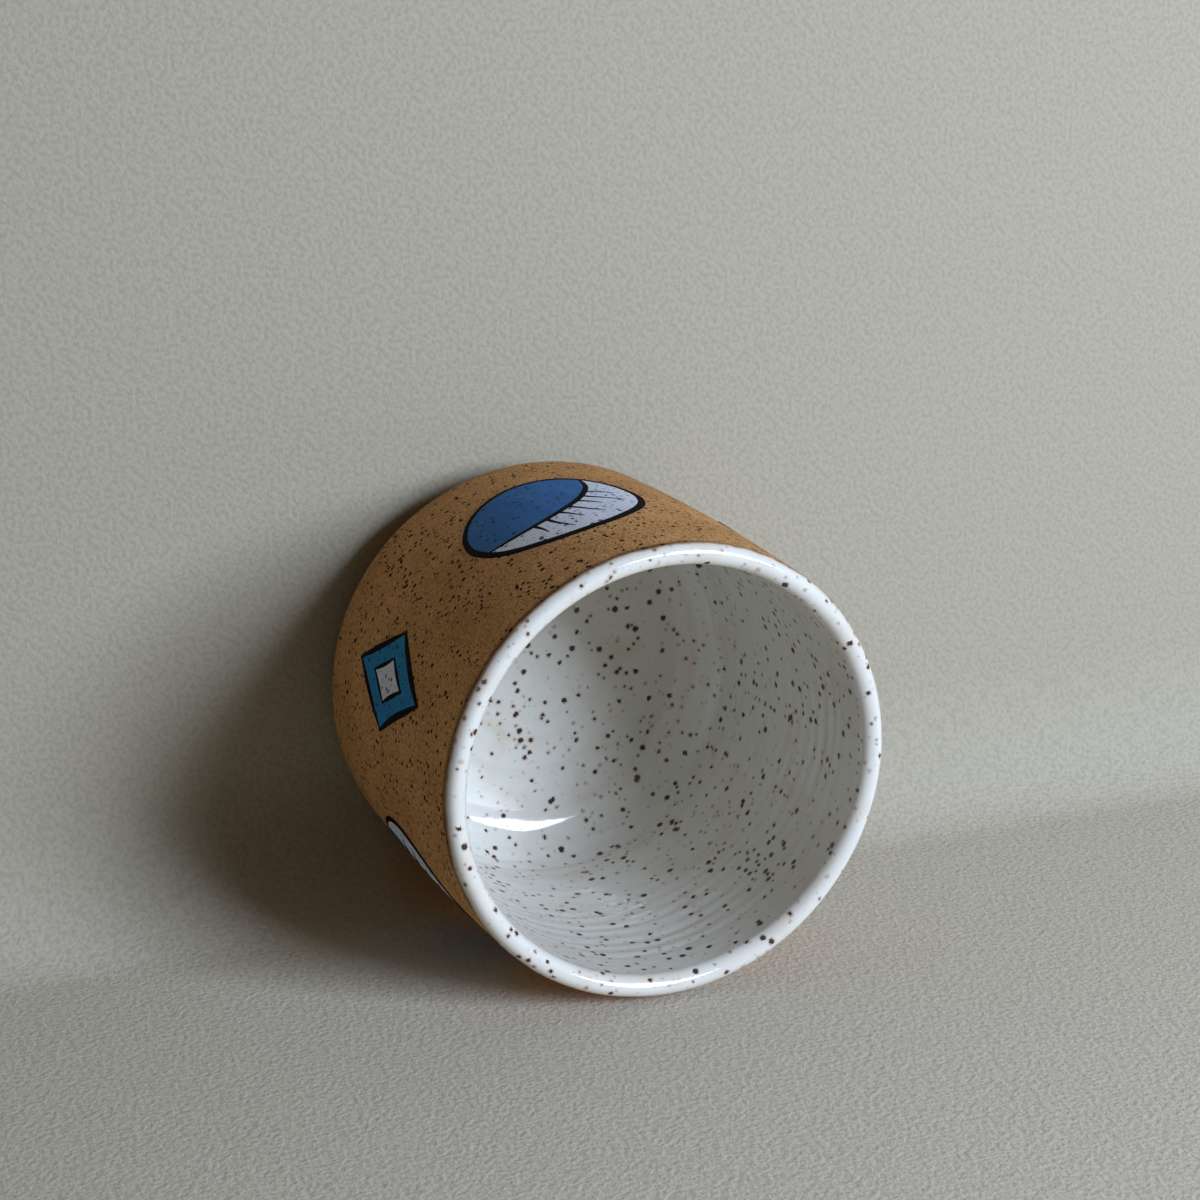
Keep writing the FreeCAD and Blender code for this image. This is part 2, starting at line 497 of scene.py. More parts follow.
@dataclass(frozen=True)
class SpeckLayer:
    """Iron specks in fired clay or glaze: grains strewn at random, each cut by the surface."""

    spacing: float
    radius: float
    share: float
    uneven: float
    soft: float
    ragged: float
    seed: float
    halo: float = 0.0
    ragged_span: float = 0.45
    smallest: float = 0.12

    def masks(self, board: Board, place: Source) -> tuple[bpy.types.Node, bpy.types.Node]:
        """Add the nodes that draw the specks.

        Args:
            board: the material's board.
            place: the surface point in metres.

        Returns:
            The specks' mask, and the wider mask of the halo round them.
        """
        edge = self.soft / self.spacing
        rough = board.add("TexNoise", {"Scale": 1 / (self.ragged_span * MM), "Detail": 2.0,
                                       "Vector": place})
        centred = board.add("VectorMath", {"operation": "SUBTRACT", 0: rough.outputs["Color"],
                                           1: (0.5, 0.5, 0.5)})
        pushed = board.add("VectorMath", {"operation": "MULTIPLY_ADD", 0: centred,
                                          1: (self.ragged * MM,) * 3, 2: place})
        shifted = board.add("VectorMath", {"operation": "ADD", 0: pushed, 1: (self.seed,) * 3})
        cells = board.add("TexVoronoi", {"Scale": 1 / (self.spacing * MM), "Vector": shifted})
        chance = board.add("SeparateColor", {0: cells.outputs["Color"]})
        kept = board.add("MapRange", {"From Min": 1 - self.share, "From Max": 1.0, "Value": chance})
        size = board.add("Math", {"operation": "POWER", 0: kept, 1: self.uneven})
        reach = board.add("Math", {"operation": "MULTIPLY_ADD", 0: size,
                                   1: self.radius / self.spacing, 2: -edge})
        inside = board.add("Math", {"operation": "SUBTRACT", 0: reach, 1: cells.outputs["Distance"]})
        mask = board.add("MapRange", {"interpolation_type": "SMOOTHSTEP", "From Min": -edge,
                                      "From Max": edge, "Value": inside})
        present = board.add("Math", {"operation": "GREATER_THAN", 0: size, 1: self.smallest})
        halo = board.add("MapRange", {"interpolation_type": "SMOOTHSTEP", "From Max": 0.0,
                                      "From Min": -(self.halo + self.soft) / self.spacing,
                                      "Value": inside})
        return mask, board.add("Math", {"operation": "MULTIPLY", 0: halo, 1: present})


# The same iron grains stand in the bare clay and through every slip, so these two are shared.
CLAY_SPECKS = SpeckLayer(spacing=1.1, radius=0.52, share=0.92, uneven=1.4, soft=0.05, ragged=0.55,
                         seed=0.0)
CLAY_PEPPER = SpeckLayer(spacing=0.72, radius=0.27, share=0.75, uneven=1.0, soft=0.04, ragged=0.3,
                         seed=0.031)

# Real sand in such clay is 0.1 to 0.3 mm; it is drawn a little coarser so that it shows.
SAND_GRAIN = 0.32


def sand_masks(board: Board, place: Source) -> tuple[bpy.types.Node, bpy.types.Node]:
    """Add the nodes that pick out the dark and the light grains of the clay's fine sand.

    Args:
        board: the material's board.
        place: the surface point in metres.

    Returns:
        The masks of the dark grains and of the light ones.
    """
    grains = board.add("TexVoronoi", {"Scale": 1 / (SAND_GRAIN * MM), "Vector": place})
    chance = board.add("SeparateColor", {0: grains.outputs["Color"]})
    dark = board.add("MapRange", {"From Min": 0.55, "From Max": 1.0, "Value": chance})
    light = board.add("MapRange", {"From Min": 0.7, "From Max": 1.0, "Value": chance.outputs[1]})
    return dark, light


def fired_skin(board: Board, colour: bpy.types.NodeSocket, grain: Source, specks: Source,
               depths: tuple[tuple[float, float], tuple[float, float]], gloss: dict) -> None:
    """Close the material of a fired bare surface, sandy and pitted where specks burnt out.

    Args:
        board: the material's board.
        colour: the surface's colour.
        grain: the height of the sand.
        specks: the specks' mask.
        depths: the strength and the depth in mm of the sand, and those of the pits.
        gloss: the shader's own constants.
    """
    (sand_strength, sand_depth), (pit_strength, pit_depth) = depths
    sandy = board.add("Bump", {"Strength": sand_strength, "Distance": sand_depth * MM,
                               "Height": grain})
    pitted = board.add("Bump", {"Strength": pit_strength, "Distance": pit_depth * MM,
                                "invert": True, "Height": specks, "Normal": sandy})
    shader = board.add("BsdfPrincipled", {"Base Color": colour, "Normal": pitted, **gloss})
    board.add("OutputMaterial", {"Surface": shader})


@dataclass(frozen=True)
class SpeckledStoneware:
    """Buff stoneware with iron grains, sponged and fired bare.

    Real stoneware clay is a dense ceramic whose sandy skin scatters light: no gloss, a warm
    toasted colour that drifts from place to place, and dark grains with small pores.
    """

    body: str = "#dba46b"
    toasted: str = "#c08c55"
    grain_dark: str = "#6b4627"
    grain_light: str = "#dcb585"
    speck: str = "#0f0906"
    flash: str = "#57341f"
    patch_span: float = 16.0
    grain_size: float = 0.5
    roughness: float = 0.86
    specular: float = 0.12
    flash_level: float = 75.3
    flash_blur: float = 0.9
    flash_sway: float = 1.2

    def material(self) -> bpy.types.Material:
        """Make the clay's material.

        Returns:
            The material.
        """
        material, board, place = new_material("speckled_stoneware")
        patches, toasting = board.noise_mask(place, self.patch_span, (0.35, 0.65), 4.0, 0.55)
        grain, sand = board.noise_mask(place, self.grain_size, (0.42, 0.62), 3.0, 0.7)
        dark_sand, light_sand = sand_masks(board, place)
        level = board.add("SeparateXYZ", {0: place})
        ragged = board.add("Math", {"operation": "MULTIPLY_ADD", 0: patches,
                                    1: self.flash_sway * MM, 2: level.outputs[2]})
        flash = board.add("MapRange", {"interpolation_type": "SMOOTHSTEP", "Value": ragged,
                                       "From Min": (self.flash_level - self.flash_blur) * MM,
                                       "From Max": (self.flash_level + self.flash_blur) * MM})
        specks, _ = CLAY_SPECKS.masks(board, place)
        pepper, _ = CLAY_PEPPER.masks(board, place)
        colour = board.layered(
            self.body, (self.toasted, toasting, 1.0), (self.grain_dark, sand, 0.5),
            (self.grain_dark, dark_sand, 0.52), (self.grain_light, light_sand, 0.35),
            (self.flash, flash, 0.8), (self.speck, pepper, 0.85), (self.speck, specks, 1.0))
        fired_skin(board, colour, grain, specks, ((0.9, 0.2), (0.7, 0.08)),
                   {"Roughness": self.roughness, "Specular IOR Level": self.specular})
        return material


@dataclass(frozen=True)
class WhiteLinerGlaze:
    """Glossy tin-white glaze over iron-bearing clay.

    A fired glaze is a glass: an index near 1.5 and a smooth skin with a slight orange peel.
    The iron in the clay bleeds up through it as dark specks with brown rims, and it thins and
    breaks to brown where it ends.
    """

    white: str = "#d0cdc4"
    thin: str = "#c3b4a1"
    core: str = "#28170e"
    melt: str = "#8c5a38"
    edge: str = "#7a5136"
    roughness: float = 0.09
    index: float = 1.5
    ring_span: float = 2.8
    ring_drift: float = 0.06
    cloud_span: float = 9.0
    bleed_span: float = 3.0
    peel_span: float = 4.5
    grains: SpeckLayer = SpeckLayer(1.65, 0.7, 0.9, 1.9, 0.07, 0.6, 0.013, halo=0.35)
    dust: SpeckLayer = SpeckLayer(1.1, 0.28, 0.45, 1.0, 0.06, 0.35, 0.057)

    def ring_point(self, board: Board, place: Source) -> bpy.types.Node:
        """Add the nodes that read a noise along the run from the lip to the floor's middle.

        Args:
            board: the material's board.
            place: the surface point in metres.

        Returns:
            The point that changes fast along the run and slowly round the cup.
        """
        parts = board.add("SeparateXYZ", {0: place})
        flat = board.add("VectorMath", {"operation": "MULTIPLY", 0: place, 1: (1.0, 1.0, 0.0)})
        radius = board.add("VectorMath", {"operation": "LENGTH", 0: flat})
        down = board.add("Math", {"operation": "ADD", 0: parts.outputs[2],
                                  1: radius.outputs["Value"]})
        slow = board.add("VectorMath", {"operation": "MULTIPLY", 0: place,
                                        1: (self.ring_drift, self.ring_drift, 0.0)})
        fast = board.add("CombineXYZ", {2: down})
        return board.add("VectorMath", {"operation": "ADD", 0: slow, 1: fast})

    def material(self) -> bpy.types.Material:
        """Make the glaze's material, which reads the attribute "thinness".

        Returns:
            The material.
        """
        material, board, place = new_material("white_liner_glaze")
        ring_point = self.ring_point(board, place)
        rings, ring_mask = board.noise_mask(ring_point, self.ring_span, (0.5, 0.75), 2.0)
        _, clouds = board.noise_mask(place, self.cloud_span, (0.52, 0.75))
        dust, _ = self.dust.masks(board, place)
        core, halo = self.grains.masks(board, place)
        thinness = board.add("Attribute", {"attribute_name": "thinness"})
        bleed = board.add("TexNoise", {"Scale": 1 / (self.bleed_span * MM), "Detail": 3.0,
                                       "Vector": place})
        bled = board.add("Math", {"operation": "MULTIPLY_ADD", 0: bleed, 1: 0.5, 2: -0.25})
        bare = board.add("Math", {"operation": "ADD", 0: thinness.outputs["Fac"], 1: bled})
        broken = board.add("MapRange", {"interpolation_type": "SMOOTHSTEP", "From Min": 0.55,
                                        "From Max": 1.05, "Value": bare})
        haze = board.add("MapRange", {"From Min": 0.1, "From Max": 1.0, "Value": bare})
        colour = board.layered(
            self.white, (self.thin, ring_mask, 0.35), (self.thin, clouds, 0.5),
            (self.melt, dust, 0.5), (self.melt, halo, 0.5), (self.core, core, 0.95),
            (self.thin, haze, 0.6), (self.edge, broken, 0.9))
        ridges = board.add("Bump", {"Strength": 0.5, "Distance": 0.1 * MM, "Height": rings})
        peel = board.add("TexNoise", {"Scale": 1 / (self.peel_span * MM), "Detail": 1.0,
                                      "Vector": place})
        peeled = board.add("Bump", {"Strength": 0.5, "Distance": 0.08 * MM, "Height": peel,
                                    "Normal": ridges})
        shader = board.add("BsdfPrincipled", {"Base Color": colour, "Roughness": self.roughness,
                                              "IOR": self.index, "Normal": peeled})
        board.add("OutputMaterial", {"Surface": shader})
        return material


@dataclass(frozen=True)
class BrushedSlip:
    """Coloured slip: clay and stain brushed on in one coat, then fired matte.

    The coat is thin, so the sandy clay shows as grain, the iron specks stand through it, and
    the brush leaves paler drifts.
    """

    name: str
    body: str
    drift: str
    roughness: float
    speck: str = "#14100f"
    drift_span: float = 5.0
    drift_stretch: float = 0.35
    grain_size: float = 0.4
    speck_strength: float = 0.9
    specular: float = 0.15

    def material(self) -> bpy.types.Material:
        """Make the slip's material.

        Returns:
            The material.
        """
        material, board, place = new_material(self.name)
        stretched = board.add("VectorMath", {"operation": "MULTIPLY", 0: place,
                                             1: (1.0, 1.0, self.drift_stretch)})
        _, drifts = board.noise_mask(stretched, self.drift_span, (0.4, 0.7), 5.0, 0.6)
        grain, grain_mask = board.noise_mask(place, self.grain_size, (0.55, 0.8), 3.0, 0.7)
        dark_sand, _ = sand_masks(board, place)
        specks, _ = CLAY_SPECKS.masks(board, place)
        pepper, _ = CLAY_PEPPER.masks(board, place)
        colour = board.layered(
            self.body, (self.drift, drifts, 0.8), (self.speck, grain_mask, 0.18),
            (self.speck, dark_sand, 0.22), (self.speck, pepper, 0.6 * self.speck_strength),
            (self.speck, specks, self.speck_strength))
        fired_skin(board, colour, grain, specks, ((0.6, 0.05), (0.6, 0.06)),
                   {"Roughness": self.roughness, "Specular IOR Level": self.specular})
        return material


SLIPS = {
    Colour.BLUE: BrushedSlip("cobalt_blue_slip", "#25609f", "#3673b0", 0.62),
    Colour.TEAL: BrushedSlip("copper_teal_slip", "#107ab2", "#2189bc", 0.62),
    Colour.PALE: BrushedSlip("pale_lavender_slip", "#d1d6e7", "#dfe3f0", 0.66),
    Colour.BLACK: BrushedSlip("iron_black_slip", "#050506", "#0b0a0d", 0.75, speck_strength=0.3,
                              specular=0.06),
}


def finish_piece(piece: bpy.types.Object, material: bpy.types.Material, slot: str,
                 *nodes: str) -> None:
    """Dress a piece and enter it in the frame.

    Args:
        piece: the finished mesh.
        material: what it is made of.
        slot: the record's material slot; not used.
        nodes: the frame's solids that it stands for.
    """
    piece.data.materials.clear()
    piece.data.materials.append(material)
    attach(piece, BODY)
    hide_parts(*nodes)
    LOG.info("%s: %d faces, %s", piece.name, len(piece.data.polygons), material.name)


@dataclass(frozen=True)
class ClayBody:
    """The fired clay: foot ring, floor, wall and rounded lip, thrown and trimmed as one."""

    wall: ThrownWall
    steps: int = 256
    foot_round: float = 0.7
    foot_fillet: float = 0.5
    well_dome: float = 0.25
    trim_pitch: float = 2.4
    trim_depth: float = 0.05
    trim_reach: tuple[float, float] = (24.0, 26.0)
    trim_centre: tuple[float, float] = (0.5, 4.0)
    well_points: int = 24
    fine_step: float = 0.12
    foot_step: float = 0.3
    base_step: float = 0.9
    corner_step: float = 0.6
    wall_step: float = 1.0
    lip_step: float = 0.15
    hidden_steps: tuple[float, float, float] = (4.0, 2.0, 8.0)

    def profile(self) -> list[Vector]:
        """Draw the outline of half the clay.

        Returns:
            Its points, from the axis below round to the axis inside.
        """
        wall = self.wall
        corner = wall.on_wall(wall.outer_corner, wall.foot_height + wall.outer_corner)
        foot_outside = wall.lip_radius + wall.base_spread - wall.outer_corner - wall.foot_inset
        foot_inside = foot_outside - wall.foot_width
        top = wall.foot_height
        well = [Vector((foot_inside * share, top + self.well_dome * (1 - share ** 2)))
                for share in (index / self.well_points for index in range(self.well_points))]
        bend = self.foot_round
        inner_lip = wall.on_lip(wall.lip_round, wall.lean + 180).y
        outer_lip = wall.on_lip(wall.lip_round, wall.lean).y
        core = wall.corner_core
        inside_step, inner_corner_step, floor_step = self.hidden_steps
        return joined(
            well,
            straight_points(Vector((foot_inside, top)), Vector((foot_inside, bend)), self.foot_step),
            arc_points(Vector((foot_inside + bend, bend)), bend, 180, 270, self.fine_step),
            straight_points(Vector((foot_inside + bend, 0)), Vector((foot_outside - bend, 0)),
                            self.base_step),
            arc_points(Vector((foot_outside - bend, bend)), bend, -90, 0, self.fine_step),
            arc_points(Vector((foot_outside + self.foot_fillet, top - self.foot_fillet)),
                       self.foot_fillet, 180, 90, self.fine_step),
            [Vector((corner.x, top))],
            arc_points(corner, wall.outer_corner, -90, wall.wall_angle(corner), self.corner_step),
            wall_points(wall, 0, corner.y, outer_lip, self.wall_step),
            arc_points(wall.lip_centre, wall.lip_round, wall.lean, wall.lean + 180, self.lip_step),
            wall_points(wall, wall.thickness, inner_lip, core.y, inside_step),
            arc_points(core, wall.inner_corner, wall.wall_angle(core), -90, inner_corner_step),
            straight_points(Vector((core.x, wall.clay_floor)), Vector((0, wall.clay_floor)),
                            floor_step),
        )

    def trimmed(self, point: Vector) -> Vector:
        """Press the spiral that the trimming tool leaves into the foot's well.

        Args:
            point: a point of the clay.

        Returns:
            The point, moved where it lies in the well.
        """
        flat = math.hypot(point.x, point.y)
        near, far = self.trim_reach
        lowest, highest = self.wall.foot_height * 0.9, self.wall.foot_height + 2 * self.well_dome
        if not lowest < point.z < highest or flat > far:
            return point
        turn = flat / self.trim_pitch + math.atan2(point.y, point.x) / math.tau
        fade = smooth_step(*self.trim_centre, flat) * (1 - smooth_step(near, far, flat))
        rise = self.trim_depth * fade * (0.5 - 0.5 * math.cos(math.tau * turn))
        return point + Vector((0, 0, rise))

    def build(self) -> bpy.types.Object:
        """Spin, trim and dress the clay.

        Returns:
            The piece.
        """
        piece = spin_profile("thrown_clay_body", self.profile(), self.steps)
        reshape(piece, lambda point: self.wall.softened(self.trimmed(point)))
        finish_piece(piece, SpeckledStoneware().material(), "clay", "clay_body")
        return piece


@dataclass(frozen=True)
class LinerGlaze:
    """The white glaze: a glassy coat on the floor, up the inner wall and over the lip."""

    wall: ThrownWall
    steps: int = 288
    sunk: float = 0.06
    edge_angle: float = 20.0
    edge_thickness: float = 0.15
    edge_tuck: tuple[float, float] = (1.5, 1.0)
    edge_sway: float = 9.0
    edge_span: float = 6.0
    sway_end: float = 85.0
    thinning_steps: int = 21
    ring_pitch: float = 3.7
    ring_depth: float = 0.14
    ring_run_shares: tuple[tuple[float, float], ...] = ((0.12, 0.5), (0.72, 0.93))
    ring_fade: float = 0.06
    ring_sway: float = 0.2
    ring_sway_span: float = 17.0
    ring_patch_span: float = 11.0
    ring_start: tuple[float, float] = (4.5, 11.0)
    quiet_share: float = 0.3
    floor_pitch: float = 5.5
    floor_start: tuple[float, float] = (2.0, 9.0)
    face_steps: tuple[float, float, float, float] = (0.9, 0.5, 0.45, 0.2)
    back_steps: tuple[float, float, float, float] = (0.5, 4.0, 2.0, 8.0)

    def profile(self) -> list[Vector]:
        """Draw the outline of half the glaze.

        Returns:
            Its points: up its face, over the lip and down its back.
        """
        wall = self.wall
        core = wall.corner_core
        face_round = wall.inner_corner - wall.glaze
        face_floor = core.y - face_round
        full = wall.lip_round + wall.glaze
        inner_turn = wall.wall_angle(core)
        inside = wall.lean + 180
        thinning = []
        for index in range(self.thinning_steps + 1):
            share = index / self.thinning_steps
            reach = full + (wall.lip_round + self.edge_thickness - full) * smooth_step(0, 1, share)
            thinning.append(wall.on_lip(reach, 90 + (self.edge_angle - 90) * share))
        outer_tuck, inner_tuck = self.edge_tuck
        back_floor = wall.clay_floor - self.sunk
        floor_step, corner_step, wall_step, lip_step = self.face_steps
        lip_back_step, wall_back_step, corner_back_step, floor_back_step = self.back_steps
        return joined(
            straight_points(Vector((0, face_floor)), Vector((core.x, face_floor)), floor_step),
            arc_points(core, face_round, -90, inner_turn, corner_step),
            wall_points(wall, wall.thickness + wall.glaze, core.y, wall.on_lip(full, inside).y,
                        wall_step),
            arc_points(wall.lip_centre, full, inside, 90, lip_step),
            thinning,
            [wall.on_lip(wall.lip_round + 0.5 * self.edge_thickness, self.edge_angle - outer_tuck),
             wall.on_lip(wall.lip_round - self.sunk, self.edge_angle - inner_tuck)],
            arc_points(wall.lip_centre, wall.lip_round - self.sunk, self.edge_angle, inside,
                       lip_back_step),
            wall_points(wall, wall.thickness - self.sunk, wall.on_lip(wall.lip_round, inside).y,
                        core.y, wall_back_step),
            arc_points(core, wall.inner_corner + self.sunk, inner_turn, -90, corner_back_step),
            straight_points(Vector((core.x, back_floor)), Vector((0, back_floor)), floor_back_step),
        )

    def ring_press(self, point: Vector, flat: float) -> float:
        """Work out how deep the throwing rings press a point of the glaze's face.

        Args:
            point: the point.
            flat: its distance from the axis.

        Returns:
            The depth.
        """
        wall = self.wall
        angle = math.atan2(point.y, point.x) / math.tau
        run = wall.run_inside(flat, point.z)
        wall_run = wall.height - wall.corner_core.y + wall.inner_corner * math.pi / 2
        share = run / wall_run
        place = (point.x, point.y, point.z * 2.5)
        if share < 1:
            turn = run / self.ring_pitch + angle
            turn += self.ring_sway * wander(place, self.ring_sway_span, 5.5)
            strong = max(smooth_step(low, low + self.ring_fade, share)
                         * (1 - smooth_step(high - self.ring_fade, high, share))
                         for low, high in self.ring_run_shares)
            depth = self.ring_depth * (self.quiet_share + (1 - self.quiet_share) * strong)
        else:
            turn = run / self.floor_pitch + angle
            depth = self.ring_depth * self.quiet_share * smooth_step(*self.floor_start, flat)
        depth *= 0.75 + 0.5 * wander(place, self.ring_patch_span, 2.2)
        return depth * smooth_step(*self.ring_start, run) * (0.5 - 0.5 * math.cos(math.tau * turn))

    def ringed(self, point: Vector) -> Vector:
        """Press the spiral of throwing rings into the glaze's face.

        Args:
            point: a point of the glaze.

        Returns:
            The point, moved where it lies on the face.
        """
        wall = self.wall
        core = wall.corner_core
        flat = math.hypot(point.x, point.y)
        on_face = wall.depth_inside(flat, point.z) > wall.thickness + 0.6 * wall.glaze
        on_lip = point.z > wall.lip_centre.y - 1.5 or flat > wall.lip_radius
        if flat < AXIS_REACH or on_lip or not on_face:
            return point
        outward = Vector((point.x, point.y, 0)) / flat
        if point.z >= core.y:
            aim = outward
        elif flat > core.x:
            away = (Vector((flat, point.z)) - core).normalized()
            aim = outward * away.x + Vector((0, 0, away.y))
        else:
            aim = Vector((0, 0, -1))
        return point + aim * self.ring_press(point, flat)

    def lip_angle(self, point: Vector) -> float:
        """Find where round the lip a point lies.

        Args:
            point: a point of the glaze.

        Returns:
            Its angle in degrees, or 180 away from the lip.
        """
        away = Vector((math.hypot(point.x, point.y), point.z)) - self.wall.lip_centre
        if away.length > self.wall.lip_round + 2 * self.wall.glaze or away.x < 0:
            return 180.0
        return angle_of(away)

    def edged(self, point: Vector) -> Vector:
        """Slide a point near the glaze's end round the lip, so that the end wavers.

        Args:
            point: a point of the glaze.

        Returns:
            The point, moved where it lies outside the lip's crown.
        """
        angle = self.lip_angle(point)
        if angle > 90:
            return point
        flat = math.hypot(point.x, point.y)
        outward = Vector((point.x, point.y, 0)) / flat
        sway = wander(outward * self.wall.lip_radius, self.edge_span, 1.9)
        sway += 0.5 * wander(outward * self.wall.lip_radius, self.edge_span / 3, 6.4)
        slide = self.edge_sway * sway * (1 - smooth_step(self.edge_angle, self.sway_end, angle))
        reach = (Vector((flat, point.z)) - self.wall.lip_centre).length
        moved = self.wall.on_lip(reach, angle + slide)
        return outward * moved.x + Vector((0, 0, moved.y))

    def mark_thinness(self, piece: bpy.types.Object) -> None:
        """Store how thin the glaze is at each vertex: 0 on the crown of the lip, 1 at its end.

        Args:
            piece: the glaze, still without its wavering end.
        """
        thinness = piece.data.attributes.new("thinness", "FLOAT", "POINT")
        for vertex, value in zip(piece.data.vertices, thinness.data):
            angle = self.lip_angle(vertex.co / MM)
            value.value = 1 - smooth_step(self.edge_angle - 2, 70.0, angle)

    def build(self) -> bpy.types.Object:
        """Spin the glaze, give it its rings and its wavering end, and dress it.

        Returns:
            The piece.
        """
        piece = spin_profile("poured_liner_glaze", self.profile(), self.steps)
        self.mark_thinness(piece)
        reshape(piece, lambda point: self.wall.softened(self.edged(self.ringed(point))))
        finish_piece(piece, WhiteLinerGlaze().material(), "white_glaze", "liner_glaze")
        return piece


@dataclass(frozen=True)
class Spot:
    """A motif's place on the wall: its angle round the cup, its level and its tilt."""

    wall: ThrownWall
    angle: float
    level: float
    tilt: float = 0.0

    def laid(self, across: float, up: float, lift: float) -> Vector:
        """Find the place on the thrown wall of a point of the motif.

        Args:
            across: the point's distance to the right of the motif's centre.
            up: its distance above the centre.
            lift: how far it stands off the clay.

        Returns:
            The point in mm.
        """
        tilt = heading(self.tilt)
        right = across * tilt.x - up * tilt.y
        level = self.level + across * tilt.y + up * tilt.x
        edge = self.wall.on_wall(0, level)
        slope = (edge - self.wall.circle[0]).normalized()
        front = -math.sqrt(edge.x ** 2 - right ** 2)
        outward = Vector((right / edge.x * slope.x, front / edge.x * slope.x, slope.y))
        point = Vector((right, front, level)) + outward * lift
        return self.wall.softened(Matrix.Rotation(math.radians(self.angle), 3, "Z") @ point)


@dataclass(frozen=True)
class Brush:
    """The painter's brush at a spot: how thick its slips lie, and how finely they are meshed."""

    spot: Spot
    coat: float = 0.14
    line_coat: float = 0.2
    edge_coat: float = 0.02
    soft_edge: float = 0.4
    backing: float = 0.2
    shake: float = 0.16
    shake_span: float = 5.0
    drift: float = 0.015
    drift_span: float = 2.5
    line_cells: int = 8
    line_backing: float = 0.25

    def skin(self, cells: tuple[int, int], place: Placer, thickness: float) -> bpy.types.Object:
        """Make a closed skin from a grid laid on the wall.

        Args:
            cells: how many faces the grid has across and up.
            place: gives its points.
            thickness: how thick the skin is, towards the clay.

        Returns:
            The closed piece.
        """
        piece = laid_grid("slip_stroke", cells, place)
        bpy.ops.object.mode_set(mode="EDIT")
        bpy.ops.mesh.select_all(action="SELECT")
        bpy.ops.mesh.remove_doubles(threshold=0.004 * MM)
        bpy.ops.object.mode_set(mode="OBJECT")
        skin = piece.modifiers.new("skin", "SOLIDIFY")
        skin.thickness = thickness * MM
        skin.offset = -1.0
        bpy.ops.object.modifier_apply(modifier=skin.name)
        return piece

    def field(self, left: float, right: float, lower: Edge, upper: Edge,
              cells: tuple[int, int] = (56, 22)) -> bpy.types.Object:
        """Paint a field between a lower and an upper edge.

        Args:
            left: where the field starts, across the motif.
            right: where it ends.
            lower: its lower edge's height at a place across.
            upper: its upper edge's height at a place across.
            cells: how many faces it has across and up.

        Returns:
            The painted field.
        """
        def place(share_across: float, share_up: float) -> Vector:
            """Return a point of the field in mm, closer spaced towards its edges."""
            across = left + (right - left) * (0.5 - 0.5 * math.cos(math.pi * share_across))
            low, high = lower(across), upper(across)
            rise = 0.5 - 0.5 * math.cos(math.pi * share_up)
            up = low + (high - low) * rise
            inside = min(min(rise, 1 - rise) * (high - low), across - left, right - across)
            full = smooth_step(0, self.soft_edge, inside)
            coat = self.edge_coat + (self.coat - self.edge_coat) * full
            drift = self.drift * wander((across, up, self.spot.angle), self.drift_span, 4.0)
            coat += drift * smooth_step(0, 1, inside)
            return self.spot.laid(across, up, coat)

        return self.skin(cells, place, self.backing)

    def line(self, path: Path, width: Edge, steps: int, seed: float,
             closed: bool = False) -> bpy.types.Object:
        """Paint a line along a path.

        Args:
            path: gives the line's middle in the motif for a share of its length.
            width: gives its width there.
            steps: how many faces it has along.
            seed: another number gives another shake of the hand.
            closed: whether the line ends where it starts.

        Returns:
            The painted line.
        """
        def place(share: float, side: float) -> Vector:
            """Return a point of the line in mm, closer spaced towards its sides."""
            middle = path(share)
            ahead = path(share + 0.002) - path(share - 0.002)
            left = Vector((-ahead.y, ahead.x)).normalized()
            turn = 0 if closed else seed
            sway = self.shake * wander((middle.x, middle.y, turn), self.shake_span, seed)
            reach = (0.5 - 0.5 * math.cos(math.pi * side) - 0.5) * width(share)
            point = middle + left * (reach + sway)
            crown = 1 - abs(2 * side - 1) ** 4
            coat = self.edge_coat + (self.line_coat - self.edge_coat) * crown
            return self.spot.laid(point.x, point.y, coat)

        return self.skin((steps, self.line_cells), place, self.line_backing)


def half_chord(radius: float, distance: float) -> float:
    """Return half the chord of a circle at a distance from its centre, or 0 outside it."""
    return math.sqrt(max(radius ** 2 - distance ** 2, 0.0))


def ring_path(radius: float) -> Path:
    """Return the path of a circle round the motif's centre, left-handed so its face is outward."""
    return lambda share: heading(360 * share) * radius


def straight_path(start: Vector, end: Vector, bow: float = 0.0) -> Path:
    """Return a path from start to end that bows to its left by a small distance."""
    side = Vector((start.y - end.y, end.x - start.x)).normalized()
    return lambda share: start.lerp(end, share) + side * bow * 4 * share * (1 - share)


def swelling(thin: float, thick: float) -> Edge:
    """Return the width of a stroke that starts and ends thin and swells between."""
    return lambda share: thin + (thick - thin) * math.sin(math.pi * min(max(share, 0), 1)) ** 0.7


